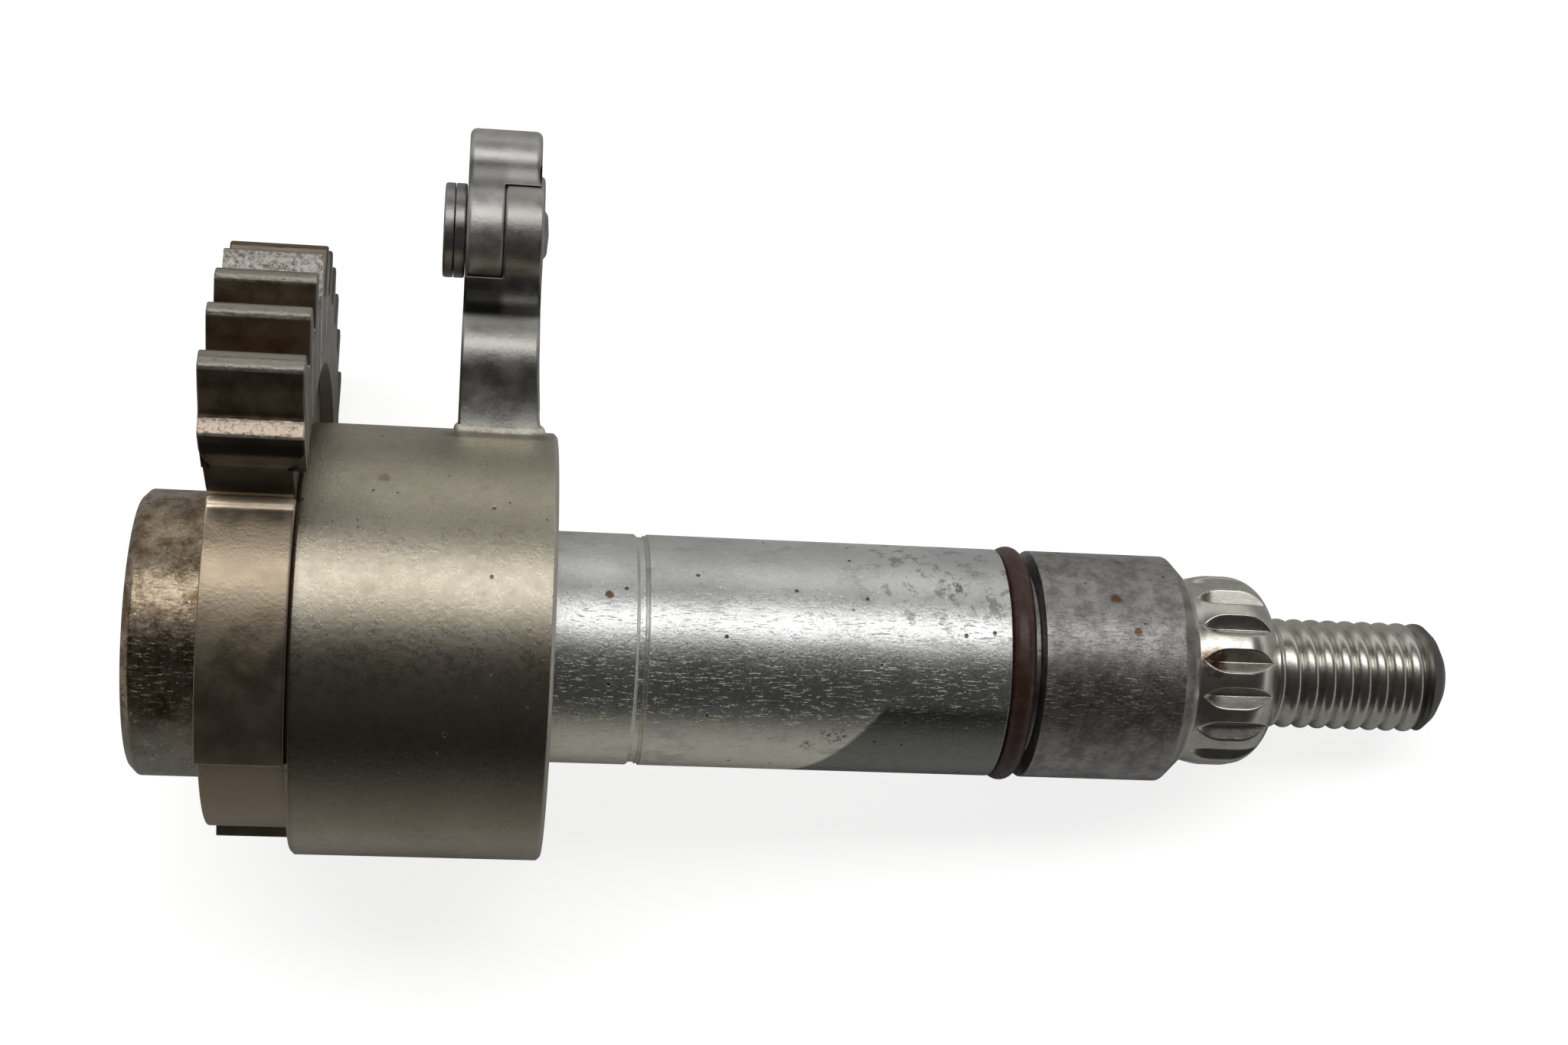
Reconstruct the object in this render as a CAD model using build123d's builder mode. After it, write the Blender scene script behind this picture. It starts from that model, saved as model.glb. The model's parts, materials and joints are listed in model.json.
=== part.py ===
from build123d import *
import math
import os

os.makedirs("parts", exist_ok=True)

# A gear-shift shaft: a plated shaft with a shouldered journal, a toothed sector and a
# drum with a lever pressed onto it, and a small link riveted to the lever's end.
#
# Sizes are in millimetres. While it is made, the shaft lies along X, X = 0 is the
# drum's outer face, and the lever points along +Y. Angles are in degrees about the
# shaft, from the lever towards the top (+Z). The last section lays the whole thing
# down as it comes to rest on a flat surface.

# The shaft, from the journal to the chamfered shoulder
shaft_radius = 11.11
journal_radius = 13.47
journal_length = 7.3
journal_chamfer = 0.8
score_position = 8.4
score_width = 1.1
score_depth = 0.35
shaft_reach = 60.1
shaft_end_chamfer = 1.9
centre_hole_radius = 2.0
centre_hole_angle = 60.0
centre_drill_radius = 0.9
centre_drill_depth = 3.6

# The seal ring and its groove
groove_position = 43.2
seal_section = 2.4
seal_proud = 0.34
seal_wall_gap = 0.06
seal_side_room = 0.86
seal_floor_gap = 0.02

# The serration, a barrel cut by sharp grooves, and the threaded stud after it
serration_count = 16
serration_radius = 9.37
serration_root_radius = 8.62
serration_groove_angle = 116.0
serration_phase = 16.5
serration_neck_radius = 8.95
serration_neck_length = 0.75
serration_rise = 2.45
serration_length = 1.5
serration_nose = 4.05
serration_runout = 3.0
stud_radius = 5.42
stud_relief_depth = 0.25
stud_relief_length = 2.3
stud_length = 19.55
stud_chamfer = 1.0
stud_dome = 1.5
stud_dome_bulge = 0.35

# The drum with its lever
drum_radius = 20.44
drum_length = 23.2
drum_chamfer = 0.35
lever_thickness = 7.35
lever_setback = 2.1
lever_root_half_width = 5.2
lever_root_depth = 3.0
lever_root_blend = 12.0
lever_root_fillet = 0.55
pin_height = 39.7
shoulder_rise = 6.76
shoulder_radius = 5.35
shoulder_gap = 0.45
eye_radius = 5.6
neck_blend = 9.4
tongue_thickness = 3.35
lever_edge_chamfer = 0.3

# The lobed hub and the toothed sector
hub_width = 7.8
hub_radius = 20.55
near_lobe_start = 55.8
near_lobe_end = 124.2
far_lobe_start = 194.6
relief_radius = 17.95
lobe_bevel = 1.1
lobe_corner_round = 0.5
notch_radius = 19.3
notch_end = 52.0
notch_round = 0.5
web_bend_radius = 21.3
web_blend = 1.2
rim_width = 8.95
rim_inner_radius = 26.0
rim_corner_round = 0.9
near_end_angle = 58.5
near_knee_radius = 28.75
near_knee_angle = 59.3
tooth_module = 2.0
full_circle_teeth = 35
tooth_count = 10
first_tooth_angle = 51.6
pressure_angle = 14.5
root_clearance = 0.5
root_round = 0.6
far_root_land = 6.9
worn_corner = 0.85
tip_corner = 0.3
broken_tooth = 3
break_depth = 3.4
break_face_depth = 2.9
break_crest = 0.3
break_foot = 1.65
break_hollow = 0.2
sector_edge_chamfer = 0.2

# The link, its rivet and its washer
link_thickness = 6.95
link_eye_radius = 5.55
nose_radius = 3.8
nose_reach = 6.5
nose_blend = 2.6
link_edge_chamfer = 0.3
lap_gap = 0.44
seat_clearance = 0.4
pin_radius = 2.2
pin_running_clearance = 0.05
rivet_head_radius = 4.55
rivet_head_thickness = 1.0
rivet_head_bevel = 0.3
washer_thickness = 1.05
washer_side_gap = 0.05
washer_bevel = 0.15
peened_radius = 2.45
peened_flat_radius = 0.75
peened_height = 0.55
peened_bulge = 0.2

# Places along the shaft that follow from the sizes above
drum_face = 0.0
drum_back = drum_face - drum_length
hub_back = drum_back - hub_width
rim_face = hub_back + rim_width
journal_end = hub_back - journal_length
lever_face = drum_face - lever_setback
lever_back = lever_face - lever_thickness
tongue_back = lever_face - tongue_thickness
lobe_face = tongue_back - lap_gap
washer_face = lever_back - washer_side_gap
rivet_head_face = washer_face - washer_thickness - washer_side_gap
barrel_start = shaft_reach + shaft_end_chamfer
barrel_top = barrel_start + serration_neck_length + serration_rise
barrel_end = barrel_top + serration_length
stud_start = barrel_end + serration_nose
stud_end = stud_start + stud_length

# The teeth, as arcs about the shaft
pitch_radius = tooth_module * full_circle_teeth / 2
tip_radius = pitch_radius + tooth_module
root_radius = pitch_radius - tooth_module - root_clearance
base_radius = pitch_radius * math.cos(math.radians(pressure_angle))
tooth_pitch_angle = 360 / full_circle_teeth
last_tooth_angle = first_tooth_angle - (tooth_count - 1) * tooth_pitch_angle
far_end_angle = last_tooth_angle - far_root_land


def polar(radius, angle):
    """A point across the shaft, by its radius and its angle from the lever."""
    turn = math.radians(angle)
    return (radius * math.cos(turn), radius * math.sin(turn))


def involute(roll):
    """How far an involute has turned from its base circle, where its slope is roll (radians)."""
    return math.tan(roll) - roll


def flank_angle(radius):
    """Half the angle that a tooth fills at a radius, in degrees."""
    pitch_slope = math.radians(pressure_angle)
    slope = math.acos(min(1.0, base_radius / radius))
    half = math.pi / (2 * full_circle_teeth) + involute(pitch_slope) - involute(slope)
    return math.degrees(half)


def waisted_outline(low_height, low_radius, high_height, high_radius, blend_radius):
    """Two round ends on the lever's centre line, joined by hollow flanks of one large arc."""
    span = high_height - low_height
    low_reach = low_radius + blend_radius
    high_reach = high_radius + blend_radius
    along = (span**2 + low_reach**2 - high_reach**2) / (2 * span)
    aside = math.sqrt(low_reach**2 - along**2)
    hollows = [(low_height + along, aside), (low_height + along, -aside)]
    with BuildSketch() as outline:
        with BuildLine():
            Polyline((low_height, 0), hollows[0], (high_height, 0), hollows[1], close=True)
        make_face()
        with Locations(*hollows):
            Circle(blend_radius, mode=Mode.SUBTRACT)
        with Locations((low_height, 0)):
            Circle(low_radius)
        with Locations((high_height, 0)):
            Circle(high_radius)
    return outline.sketch


# The shaft is turned from one bar. The large journal at one end makes a shoulder for the
# sector, the long bearing length has a scored line and a groove for the seal ring, and
# the other end steps down to the serration barrel and the stud.
seal_centre = groove_position + seal_wall_gap + seal_section / 2
seal_ring_radius = shaft_radius + seal_proud - seal_section / 2
groove_width = seal_section + seal_side_room
groove_floor = seal_ring_radius - seal_section / 2 - seal_floor_gap

# One sharp groove of the serration, as a cutter: a vee along the shaft that lifts out of
# the metal at its inner end, as a wheel that cuts such a groove leaves it.
cutter_height = 2 * (serration_radius - serration_root_radius)
cutter_half_width = cutter_height * math.tan(math.radians(serration_groove_angle / 2))
cutter_start = barrel_top - serration_rise / 2
cutter_lift_arc = 60.0

with BuildPart() as groove_cutter:
    with BuildSketch(Plane.YZ.offset(cutter_start)) as groove_section:
        with BuildLine():
            Polyline(
                (serration_root_radius, 0),
                (serration_root_radius + cutter_height, cutter_half_width),
                (serration_root_radius + cutter_height, -cutter_half_width),
                close=True,
            )
        make_face()
    extrude(amount=stud_start - cutter_start)
    wheel_axis = Axis((cutter_start, serration_root_radius + serration_runout, 0), (0, 0, -1))
    revolve(groove_section.sketch, axis=wheel_axis, revolution_arc=cutter_lift_arc)

with BuildPart() as shaft:
    with BuildSketch(Plane.XY):
        # The journal, with its bevelled outer edge
        with BuildLine():
            Polyline(
                (journal_end, 0),
                (journal_end, journal_radius - journal_chamfer),
                (journal_end + journal_chamfer, journal_radius),
                (hub_back, journal_radius),
                (hub_back, 0),
                close=True,
            )
        make_face()
        # The bearing length and its bevelled shoulder
        with BuildLine():
            Polyline(
                (hub_back, 0),
                (hub_back, shaft_radius),
                (shaft_reach, shaft_radius),
                (barrel_start, shaft_radius - shaft_end_chamfer),
                (barrel_start, 0),
                close=True,
            )
        make_face()
        # The barrel: a narrow neck, a gentle rise, a straight length and a round nose
        with BuildLine():
            Polyline(
                (barrel_end, serration_radius - serration_nose),
                (barrel_end, 0),
                (barrel_start, 0),
                (barrel_start, serration_neck_radius),
                (barrel_start + serration_neck_length, serration_neck_radius),
            )
            Spline(
                (barrel_start + serration_neck_length, serration_neck_radius),
                (barrel_top, serration_radius),
                tangents=((1, 0.3), (1, 0)),
            )
            Line((barrel_top, serration_radius), (barrel_end, serration_radius))
            Line((barrel_end, serration_radius), (barrel_end, serration_radius - serration_nose))
        make_face()
        with BuildLine():
            nose_arc = CenterArc((barrel_end, serration_radius - serration_nose), serration_nose, 0, 90)
            Polyline(nose_arc @ 1, (barrel_end, 0), (stud_start, 0), nose_arc @ 0)
        make_face()
        # The stud, with a relief at its root and a bevelled, slightly domed end
        with BuildLine():
            Polyline(
                (barrel_end, 0),
                (barrel_end, stud_radius - stud_relief_depth),
                (stud_start + stud_relief_length, stud_radius - stud_relief_depth),
                (stud_start + stud_relief_length + stud_relief_depth, stud_radius),
                (stud_end - stud_chamfer - stud_dome, stud_radius),
                (stud_end - stud_dome, stud_radius - stud_chamfer),
            )
            dome_edge = (stud_end - stud_dome, stud_radius - stud_chamfer)
            dome = SagittaArc(dome_edge, (stud_end, centre_hole_radius), stud_dome_bulge)
            Polyline(dome @ 1, (stud_end, 0), (barrel_end, 0))
        make_face()
        # The scored line and the seal groove
        with BuildLine():
            Polyline(
                (score_position - score_width / 2, shaft_radius),
                (score_position, shaft_radius - score_depth),
                (score_position + score_width / 2, shaft_radius),
                close=True,
            )
        make_face(mode=Mode.SUBTRACT)
        with Locations((groove_position, groove_floor)):
            Rectangle(groove_width, seal_section * 2, align=(Align.MIN, Align.MIN), mode=Mode.SUBTRACT)
        # A centre hole in each end, as the bar was held between points to turn it
        for end, inward in ((journal_end, 1), (stud_end, -1)):
            countersink_width = centre_hole_radius - centre_drill_radius
            countersink_depth = countersink_width / math.tan(math.radians(centre_hole_angle / 2))
            with BuildLine():
                Polyline(
                    (end, 0),
                    (end, centre_hole_radius),
                    (end + inward * countersink_depth, centre_drill_radius),
                    (end + inward * centre_drill_depth, centre_drill_radius),
                    (end + inward * (centre_drill_depth + centre_drill_radius / 2), 0),
                    close=True,
                )
            make_face(mode=Mode.SUBTRACT)
    revolve(axis=Axis.X)
    for groove in range(serration_count):
        turn = serration_phase + groove * 360 / serration_count
        add(groove_cutter.part, rotation=(turn, 0, 0), mode=Mode.SUBTRACT)

# The seal is a plain round-section rubber ring, lying against the groove's inner wall.
with BuildPart() as o_ring:
    with BuildSketch(Plane.XY):
        with Locations((seal_centre, seal_ring_radius)):
            Circle(seal_section / 2)
    revolve(axis=Axis.X)

# One tooth, pointing along the sketch's first axis. Its flanks are involutes down to the
# base circle and straight below it. The corner that takes the load is worn round.
tooth_steps = 5

with BuildSketch() as tooth:
    with BuildLine():
        flank_radii = [base_radius + (tip_radius - base_radius) * k / tooth_steps for k in range(tooth_steps + 1)]
        foot = root_radius - root_round
        loaded = Spline(*[polar(radius, flank_angle(radius)) for radius in flank_radii])
        trailing = Spline(*[polar(radius, -flank_angle(radius)) for radius in flank_radii])
        Line(polar(foot, flank_angle(base_radius)), loaded @ 0)
        Line(polar(foot, -flank_angle(base_radius)), trailing @ 0)
        Line(polar(foot, flank_angle(base_radius)), polar(foot, -flank_angle(base_radius)))
        CenterArc((0, 0), tip_radius, -flank_angle(tip_radius), 2 * flank_angle(tip_radius))
    make_face()
    crest_corners = tooth.vertices().sort_by(Axis.X)[-2:].sort_by(Axis.Y)
    fillet(crest_corners[0], radius=tip_corner)
    fillet(tooth.vertices().sort_by_distance(loaded @ 1)[0], radius=worn_corner)

# What broke away from one tooth: its crest and its loaded flank, a little deeper at the
# rim's back than at its face.
break_outside = tip_radius + tooth_module
break_aside = 2 * tooth_module

with BuildPart() as tooth_break:
    for place, depth in ((hub_back, break_depth), (rim_face, break_face_depth)):
        with BuildSketch(Plane.YZ.offset(place)):
            with BuildLine():
                hollow = SagittaArc(
                    (tip_radius, -break_crest),
                    (tip_radius - depth, break_foot),
                    break_hollow,
                )
                Polyline(
                    hollow @ 1,
                    (tip_radius - depth, break_aside),
                    (break_outside, break_aside),
                    (break_outside, -break_crest),
                    hollow @ 0,
                )
            make_face()
    loft(ruled=True)

# The sector and its lobed hub are one casting. The rim with the teeth stands a little
# proud of the web, and one tooth has lost its crest and its loaded flank.
with BuildPart() as sector_lever:
    with BuildSketch(Plane.YZ.offset(hub_back)) as hub_plate:
        with BuildLine():
            CenterArc((0, 0), notch_radius, notch_end, near_lobe_start - notch_end)
            Line(polar(notch_radius, near_lobe_start), polar(hub_radius, near_lobe_start))
            CenterArc((0, 0), hub_radius, near_lobe_start, near_lobe_end - near_lobe_start)
            Line(polar(hub_radius, near_lobe_end), polar(relief_radius, near_lobe_end))
            CenterArc((0, 0), relief_radius, near_lobe_end, far_lobe_start - near_lobe_end)
            Line(polar(relief_radius, far_lobe_start), polar(hub_radius, far_lobe_start))
            CenterArc((0, 0), hub_radius, far_lobe_start, 360 + far_end_angle - far_lobe_start)
            Line(polar(hub_radius, far_end_angle), polar(root_radius, far_end_angle))
            CenterArc((0, 0), root_radius, far_end_angle, near_end_angle - far_end_angle)
            Polyline(
                polar(root_radius, near_end_angle),
                polar(near_knee_radius, near_knee_angle),
                polar(web_bend_radius, notch_end),
                polar(notch_radius, notch_end),
            )
        make_face()
    extrude(amount=hub_width)
    with BuildSketch(Plane.YZ.offset(hub_back)):
        add(hub_plate.sketch_local)
        Circle(rim_inner_radius, mode=Mode.SUBTRACT)
        with PolarLocations(0, tooth_count, last_tooth_angle, first_tooth_angle - last_tooth_angle, endpoint=True):
            add(tooth.sketch)
    extrude(amount=rim_width)

    def corner(radius, angle):
        """The plate's edge along the shaft nearest to a radius and an angle."""
        edges_along = sector_lever.edges().filter_by(Axis.X)
        return edges_along.sort_by_distance(Vector(hub_back + hub_width / 2, *polar(radius, angle)))[0]

    chamfer(corner(hub_radius, near_lobe_start), length=lobe_bevel)
    fillet(corner(hub_radius, near_lobe_end), radius=lobe_corner_round)
    fillet(corner(hub_radius, far_lobe_start), radius=lobe_bevel)
    fillet(corner(notch_radius, notch_end), radius=notch_round)
    fillet(corner(web_bend_radius, notch_end), radius=web_blend)
    fillet(corner(hub_radius, far_end_angle), radius=web_blend)
    fillet(corner(root_radius, near_end_angle), radius=rim_corner_round)
    fillet(corner(root_radius, far_end_angle), radius=rim_corner_round)
    for face in (sector_lever.faces().filter_by(Axis.X).sort_by(Axis.X)[side] for side in (0, -1)):
        outline = [edge for edge in face.edges() if math.hypot((edge @ 0.5).Y, (edge @ 0.5).Z) > root_radius - 0.5]
        chamfer(outline, length=sector_edge_chamfer)
    broken_angle = first_tooth_angle - broken_tooth * tooth_pitch_angle
    add(tooth_break.part, rotation=(broken_angle, 0, 0), mode=Mode.SUBTRACT)
    with BuildSketch(Plane.YZ.offset(hub_back)):
        Circle(shaft_radius)
    extrude(amount=hub_width, mode=Mode.SUBTRACT)

# The drum and its lever are one forging. The lever is a flat plate with a waist, a
# shoulder and an eye. Above the shoulder half its thickness is cut away for the link,
# and the thin tongue that is left carries the rivet.
lever_root_height = drum_radius - lever_root_depth
shoulder_height = drum_radius + shoulder_rise
shoulder_top = pin_height - eye_radius - shoulder_gap
lever_foot = waisted_outline(
    lever_root_height, lever_root_half_width, shoulder_height, shoulder_radius, lever_root_blend
)
lever_neck = waisted_outline(shoulder_height, shoulder_radius, pin_height, eye_radius, neck_blend)

with BuildPart() as lever_drum:
    with BuildSketch(Plane.YZ.offset(lever_back)):
        add(lever_foot)
        add(lever_neck)
    extrude(amount=lever_thickness)
    plate_rims = lever_drum.faces().filter_by(Axis.X).edges()
    chamfer(plate_rims, length=lever_edge_chamfer)
    with BuildSketch(Plane.YZ.offset(lever_back)):
        with Locations((shoulder_top, 0)):
            Rectangle(
                pin_height + 2 * eye_radius - shoulder_top,
                4 * eye_radius,
                align=(Align.MIN, Align.CENTER),
            )
    extrude(amount=lever_thickness - tongue_thickness, mode=Mode.SUBTRACT)
    with BuildSketch(Plane.YZ.offset(drum_back)):
        Circle(drum_radius)
    extrude(amount=drum_length)
    root_edges = [
        edge
        for edge in lever_drum.edges()
        if abs(math.hypot((edge @ 0.5).Y, (edge @ 0.5).Z) - drum_radius) < 0.02
        and lever_back <= (edge @ 0.5).X <= lever_face
        and (edge @ 0.5).Y > 0
    ]
    fillet(root_edges, radius=lever_root_fillet)
    chamfer(lever_drum.faces().filter_by(Axis.X).sort_by(Axis.X)[0].edges(), length=drum_chamfer)
    chamfer(lever_drum.faces().filter_by(Axis.X).sort_by(Axis.X)[-1].edges(), length=drum_chamfer)
    with BuildSketch(Plane.YZ.offset(drum_back)):
        Circle(shaft_radius)
        with Locations((pin_height, 0)):
            Circle(pin_radius)
    extrude(amount=drum_length, mode=Mode.SUBTRACT)

# The link is a small half-lapped plate. Its lobe lies beside the lever's tongue on the
# rivet, and its nose has the full thickness, with a round seat over the tongue's eye.
link_outline = waisted_outline(pin_height, link_eye_radius, pin_height + nose_reach, nose_radius, nose_blend)

with BuildPart() as link:
    with BuildSketch(Plane.YZ.offset(lever_back)):
        add(link_outline)
    extrude(amount=link_thickness)
    chamfer(link.faces().filter_by(Axis.X).edges(), length=link_edge_chamfer)
    with BuildSketch(Plane.YZ.offset(lobe_face)):
        with Locations((pin_height, 0)):
            Circle(eye_radius + seat_clearance)
    extrude(amount=link_thickness, mode=Mode.SUBTRACT)
    with BuildSketch(Plane.YZ.offset(lever_back)):
        with Locations((pin_height, 0)):
            Circle(pin_radius + pin_running_clearance)
    extrude(amount=link_thickness, mode=Mode.SUBTRACT)

# The rivet is pressed through the lever's tongue and peened over on its far side. The
# link turns on its shank.
pin_axis = Axis((0, pin_height, 0), (1, 0, 0))
pin_plane = Plane(origin=(0, pin_height, 0), x_dir=(1, 0, 0), z_dir=(0, 0, 1))

with BuildPart() as rivet_pin:
    with BuildSketch(pin_plane) as rivet_section:
        with BuildLine():
            flat_edge = (lever_face + peened_height, peened_flat_radius)
            SagittaArc((lever_face, peened_radius), flat_edge, peened_bulge)
            Polyline(
                flat_edge,
                (lever_face + peened_height, 0),
                (rivet_head_face - rivet_head_thickness, 0),
                (rivet_head_face - rivet_head_thickness, rivet_head_radius),
                (rivet_head_face, rivet_head_radius),
                (rivet_head_face, pin_radius),
                (lever_face, pin_radius),
                (lever_face, peened_radius),
            )
        make_face()
        head_corners = rivet_section.vertices().group_by(Axis.Y)[-1]
        chamfer(head_corners, length=rivet_head_bevel)
    revolve(axis=pin_axis)

# The washer lies between the rivet's head and the link.
with BuildPart() as pin_washer:
    with BuildSketch(Plane.YZ.offset(washer_face - washer_thickness)):
        with Locations((pin_height, 0)):
            Circle(rivet_head_radius)
            Circle(pin_radius + pin_running_clearance, mode=Mode.SUBTRACT)
    extrude(amount=washer_thickness)
    outer_rims = pin_washer.edges().filter_by(GeomType.CIRCLE).sort_by(SortBy.RADIUS)[-2:]
    chamfer(outer_rims, length=washer_bevel)

# At rest the whole thing lies on three points: the last tooth's far corner, the drum's
# outer edge and the shaft's bevelled edge. The shaft leans down towards the stud.
slope = (drum_radius - shaft_radius) / (shaft_reach + drum_chamfer)
rest_lean = math.degrees(math.atan(slope))
depth_at_rim = drum_radius - slope * (rim_face + drum_chamfer)
tooth_corner_angle = last_tooth_angle - flank_angle(tip_radius)
rest_roll = math.degrees(math.acos(depth_at_rim / tip_radius)) - 90 - tooth_corner_angle
roll = Location((0, 0, 0), (1, 0, 0), rest_roll)
lean = Location((0, 0, 0), (0, 1, 0), rest_lean)

pieces = {
    "shaft": shaft,
    "o_ring": o_ring,
    "sector_lever": sector_lever,
    "lever_drum": lever_drum,
    "link": link,
    "rivet_pin": rivet_pin,
    "pin_washer": pin_washer,
}
for piece in pieces.values():
    piece.part.move(lean * roll)
boxes = [piece.part.bounding_box() for piece in pieces.values()]
low = Vector(min(box.min.X for box in boxes), min(box.min.Y for box in boxes), min(box.min.Z for box in boxes))
high = Vector(max(box.max.X for box in boxes), max(box.max.Y for box in boxes), max(box.max.Z for box in boxes))
settle = Location((-(low.X + high.X) / 2, -(low.Y + high.Y) / 2, -low.Z))

for label, piece in pieces.items():
    piece.part.move(settle)
    piece.part.label = label
    export_step(piece.part, f"parts/{label}.step")
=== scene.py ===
import json
import math

import bmesh
import bpy
import numpy as np
from mathutils import Matrix, Vector

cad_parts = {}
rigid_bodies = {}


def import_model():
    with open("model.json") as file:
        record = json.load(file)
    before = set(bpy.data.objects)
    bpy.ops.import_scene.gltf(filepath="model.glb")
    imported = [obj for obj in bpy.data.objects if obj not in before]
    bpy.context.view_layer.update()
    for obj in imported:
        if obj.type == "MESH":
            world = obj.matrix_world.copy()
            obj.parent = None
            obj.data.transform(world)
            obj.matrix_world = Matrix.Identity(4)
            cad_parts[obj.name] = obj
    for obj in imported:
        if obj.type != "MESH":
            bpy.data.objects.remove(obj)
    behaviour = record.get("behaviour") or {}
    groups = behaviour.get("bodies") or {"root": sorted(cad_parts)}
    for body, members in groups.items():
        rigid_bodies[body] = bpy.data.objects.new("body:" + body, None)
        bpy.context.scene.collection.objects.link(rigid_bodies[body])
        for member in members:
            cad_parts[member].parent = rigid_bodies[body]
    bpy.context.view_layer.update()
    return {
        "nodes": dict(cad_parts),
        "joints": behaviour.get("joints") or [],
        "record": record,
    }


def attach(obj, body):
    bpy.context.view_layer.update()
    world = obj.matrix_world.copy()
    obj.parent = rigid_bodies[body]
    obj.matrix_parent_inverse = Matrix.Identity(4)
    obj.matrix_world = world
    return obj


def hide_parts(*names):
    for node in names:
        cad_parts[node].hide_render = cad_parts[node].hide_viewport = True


for leftover in list(bpy.data.objects):
    bpy.data.objects.remove(leftover)
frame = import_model()

# The shaft is one turned steel bar, zinc plated. From the left: a large journal head, a
# long bearing length with a scored line and a seal groove, a bevelled shoulder, a barrel
# with sixteen sharp grooves, and a stud with an inch thread.
ASSEMBLY = "shaft_assembly"
MM = 0.001

mounts = {mount["name"]: mount for mount in frame["record"]["mounts"]}
pivot = frame["joints"][0]
along = Vector(pivot["axis"]).normalized()
journal_middle = Vector(mounts["outer_journal"]["pos_m"])
face_point = Vector(mounts["drum_face"]["pos_m"])
origin = journal_middle + along * (face_point - journal_middle).dot(along)
to_pivot = Vector(pivot["pos_m"]) - origin
to_pivot -= along * to_pivot.dot(along)
lever_way = to_pivot.normalized()
upward = along.cross(lever_way)
# From the shaft's own frame, in millimetres, to the scene: X runs along the shaft from the
# drum's outer face to the stud, Y points along the lever, and Z is square to both.
lay = Matrix.Translation(origin) @ Matrix((along, lever_way, upward)).transposed().to_4x4()
lay = lay @ Matrix.Scale(MM, 4)

shaft_radius = mounts["outer_journal"]["dims"]["r_mm"]
head_radius = mounts["head_journal"]["dims"]["r_mm"]
stud_radius = mounts["threaded_stud"]["dims"]["r_mm"]


def grid_mesh(name, x, y, z, ends="point", loop=False, marks=None):
    """A surface from three arrays, one row a ring. Each ring closes round and joins the
    next by four-sided faces. The two ends close on a centre point or by one flat face
    each, or the last ring joins the first. Marks are further arrays, kept by vertex."""
    rings, columns = x.shape
    points = np.dstack([x, y, z]).reshape(-1, 3)
    index = np.arange(rings * columns).reshape(rings, columns)
    here = np.vstack([index, index[:1]]) if loop else index
    after = np.roll(here, -1, axis=1)
    faces = np.dstack([here[:-1], after[:-1], after[1:], here[1:]]).reshape(-1, 4).tolist()
    smooth = [True] * len(faces)
    if ends == "point" and not loop:
        points = np.vstack([points, points[:columns].mean(0), points[-columns:].mean(0)])
        first, last = np.full(columns, rings * columns), np.full(columns, rings * columns + 1)
        faces += np.c_[first, after[0], index[0]].tolist()
        faces += np.c_[last, index[-1], after[-1]].tolist()
        smooth += [True] * (2 * columns)
    elif not loop:
        faces += [index[0, ::-1].tolist(), index[-1].tolist()]
        smooth += [False, False]
    placed = np.c_[points, np.ones(len(points))] @ np.array(lay).T
    mesh = bpy.data.meshes.new(name)
    mesh.from_pydata(placed[:, :3].tolist(), [], faces)
    mesh.polygons.foreach_set("use_smooth", smooth)
    for key, values in (marks or {}).items():
        mark = mesh.attributes.new(key, "FLOAT", "POINT")
        mark.data.foreach_set("value", np.resize(np.append(values.ravel(), [0, 0]), len(points)))
    # Rings that meet share their points, so that no face is left without an area
    joined = bmesh.new()
    joined.from_mesh(mesh)
    bmesh.ops.remove_doubles(joined, verts=joined.verts, dist=1e-7)
    joined.to_mesh(mesh)
    joined.free()
    piece = bpy.data.objects.new(name, mesh)
    bpy.context.scene.collection.objects.link(piece)
    return piece


def rounded_line(line, step):
    """A line through corners, each given by its place and its rounding: an arc leaves a
    straight run at the radius times the tangent of half the turn. Points are at most a
    step apart."""
    corners, radii = np.split(np.array(line, float), [2], axis=1)
    points = [corners[:1]]
    for before, corner, after, radius in zip(corners, corners[1:], corners[2:], radii[1:, 0]):
        arrive = (corner - before) / np.linalg.norm(corner - before)
        leave = (after - corner) / np.linalg.norm(after - corner)
        turn = math.acos(max(-1.0, min(1.0, float(arrive @ leave))))
        cut = radius * math.tan(turn / 2)
        ease = np.linspace(0, 1, 6)[:, None]
        start, end = corner - arrive * cut, corner + leave * cut
        points.append((1 - ease) ** 2 * start + 2 * ease * (1 - ease) * corner + ease**2 * end)
    points = np.vstack([*points, corners[-1:]])
    runs = np.linalg.norm(np.diff(points, axis=0), axis=1)
    points = points[np.append(True, runs > 1e-6)]
    runs = runs[runs > 1e-6]
    counts = np.maximum(1, np.ceil(runs / step)).astype(int)
    shares = [np.linspace(0, 1, count, endpoint=False)[:, None] for count in counts]
    filled = [a + share * (b - a) for a, b, share in zip(points, points[1:], shares)]
    return np.vstack([*filled, points[-1:]])


def turned(name, profile, segments, height=0.0):
    """A lathe surface: each profile point (x, r) is a ring of radius r about a line along
    the shaft, at a height above it along the lever."""
    turn = np.linspace(0, 2 * math.pi, segments, endpoint=False)
    x = np.repeat(profile[:, :1], segments, axis=1)
    return grid_mesh(name, x, height + profile[:, 1:] * np.cos(turn), profile[:, 1:] * np.sin(turn))


# Stations along the bar, in millimetres from the drum's outer face
head_left, head_right = -38.3, -31.0
score_at, score_half, score_deep = 8.4, 0.62, 0.28
groove_left, groove_right, groove_floor = 43.2, 46.46, 9.03
shoulder_at, shoulder_bevel = 60.1, 1.9
barrel_start, barrel_neck, barrel_top, barrel_end = 62.0, 62.75, 65.2, 66.7
neck_radius, barrel_radius, nose_round = 8.95, 9.37, 4.05
relief_radius, relief_end = 5.17, 71.3
stud_end = 89.35
# The centre drillings: the hole, its bevelled mouth and its point
drill_radius, drill_mouth, drill_point, drill_depth, drill_bevel = 0.9, 2.0, 0.18, 3.6, 1.9
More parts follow.
